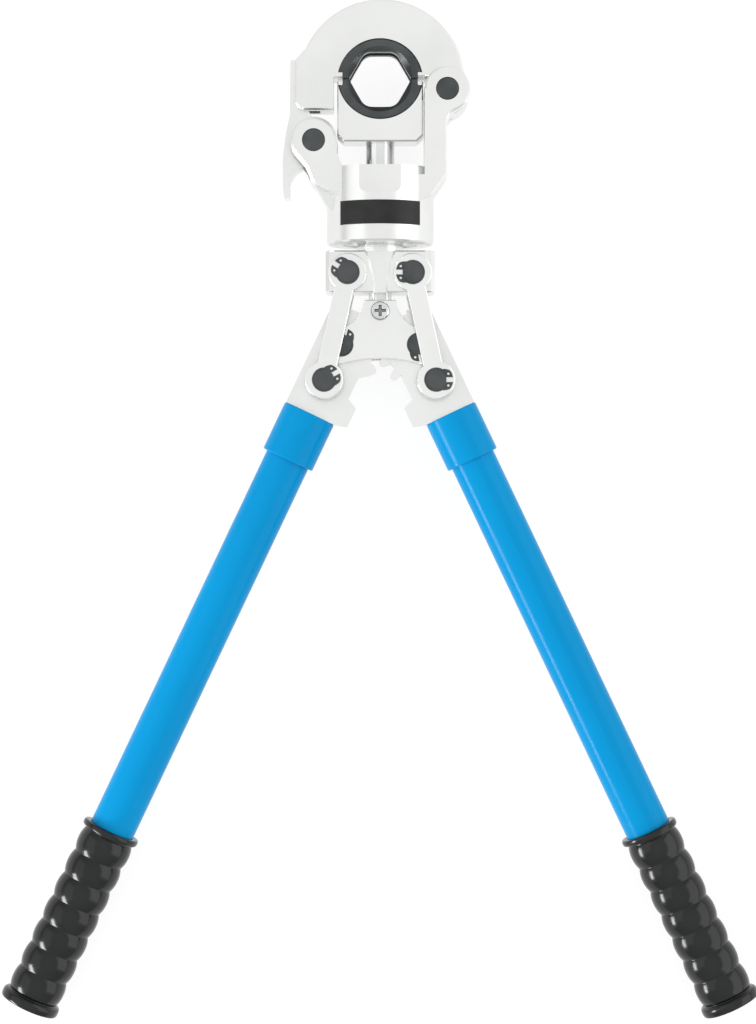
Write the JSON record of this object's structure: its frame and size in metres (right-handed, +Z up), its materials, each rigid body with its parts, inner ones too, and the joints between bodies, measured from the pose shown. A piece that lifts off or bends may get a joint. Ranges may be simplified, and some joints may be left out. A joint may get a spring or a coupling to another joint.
{
  "type": "pipe crimping tool",
  "caption": "Hand crimping tool with a hinged, latched C jaw, sliding lower jaw, split hexagon dies, toggle links, geared arms and two long tubular handles.",
  "frame": {"origin": "centre of the crimping opening between the two dies, on the tool's mid-plane", "axes": "tool lies flat with its front up: +Z up and along the pipe that is crimped, +Y along the tool from the handles to the jaws, +X to the side of the jaw hinge"},
  "size_m": [0.5306, 0.7125, 0.0755],
  "materials": {
    "nickel": "satin nickel plate",
    "ground_steel": "ground steel",
    "zinc": "bright zinc plate",
    "black_oxide": "black oxide, lightly oiled",
    "bronze": "plain bearing bronze",
    "plate_black": "satin black enamel, bare of lettering",
    "blue_paint": "gloss powder coat",
    "grip_rubber": "glossy moulded PVC"
  },
  "bodies": {
    "yoke": {"yoke": "nickel", "guide_bush": "bronze", "retaining_ring": "nickel", "hinge_pin": "black_oxide", "latch_pin": "black_oxide", "name_plate": "plate_black"},
    "upper_jaw": {"c_frame": "nickel", "upper_die": "black_oxide"},
    "latch": {"latch": "nickel", "latch_spring": "ground_steel"},
    "lower_jaw": {"jaw_slider": "nickel", "lower_die": "black_oxide", "swivel_pins": "ground_steel"},
    "block": {"block": "nickel", "thrust_washer": "ground_steel", "block_pins": "black_oxide", "block_circlips": "black_oxide"},
    "press_rod": {"press_rod": "ground_steel", "front_plate": "nickel", "back_plate": "nickel", "plate_screw": "zinc", "plate_nut": "zinc", "plate_pins": "black_oxide", "plate_circlips": "black_oxide"},
    "left_link": {"left_front_link": "nickel", "left_back_link": "nickel", "left_arm_pin": "black_oxide", "left_circlips": "black_oxide"},
    "right_link": {"right_front_link": "nickel", "right_back_link": "nickel", "right_arm_pin": "black_oxide", "right_circlips": "black_oxide"},
    "left_handle": {"left_arm": "nickel", "left_sleeve": "blue_paint", "left_tube": "blue_paint", "left_grip": "grip_rubber"},
    "right_handle": {"right_arm": "nickel", "right_sleeve": "blue_paint", "right_tube": "blue_paint", "right_grip": "grip_rubber"}
  },
  "joints": [
    {"name": "jaw_hinge", "type": "hinge", "parent": "yoke", "child": "upper_jaw", "pos_m": [0.0467, -0.0087, 0], "axis": [0, 0, -1], "range_deg": [0, 100]},
    {"name": "latch_pivot", "type": "hinge", "parent": "yoke", "child": "latch", "pos_m": [-0.0462, -0.0443, 0], "axis": [0, 0, 1], "range_deg": [0, 15], "stiffness_Nm_per_rad": 0.3, "springref_deg": -20.05, "deforming": ["latch_spring"]},
    {"name": "head_swivel", "type": "hinge", "parent": "yoke", "child": "block", "pos_m": [0, -0.115, 0], "axis": [0, 1, 0], "continuous": true},
    {"name": "left_handle_swing", "type": "hinge", "parent": "press_rod", "child": "left_handle", "pos_m": [-0.027, -0.1855, 0], "axis": [0, 0, -1], "range_deg": [-6, 35]},
    {"name": "right_handle_swing", "type": "hinge", "parent": "press_rod", "child": "right_handle", "pos_m": [0.027, -0.1855, 0], "axis": [0, 0, 1], "range_deg": [-6, 35]},
    {"name": "press_slide", "type": "slide", "parent": "block", "child": "press_rod", "axis": [0, -1, 0], "range_m": [-0.00119, 0.00693]},
    {"name": "jaw_slide", "type": "slide", "parent": "yoke", "child": "lower_jaw", "axis": [0, -1, 0], "range_m": [-0.00119, 0.00693]},
    {"name": "left_link_swing", "type": "hinge", "parent": "block", "child": "left_link", "pos_m": [-0.0226, -0.136, 0], "axis": [0, 0, -1], "range_deg": [-1.73, 10.02]},
    {"name": "right_link_swing", "type": "hinge", "parent": "block", "child": "right_link", "pos_m": [0.0226, -0.136, 0], "axis": [0, 0, 1], "range_deg": [-1.73, 10.02]}
  ],
  "couplings": [
    {"joint": "right_handle_swing", "follows": "left_handle_swing", "ratio": 1},
    {"joint": "press_slide", "follows": "left_handle_swing", "m_per_rad": 0.011345},
    {"joint": "jaw_slide", "follows": "left_handle_swing", "m_per_rad": 0.011345},
    {"joint": "left_link_swing", "follows": "left_handle_swing", "ratio": 0.286},
    {"joint": "right_link_swing", "follows": "left_handle_swing", "ratio": 0.286}
  ]
}
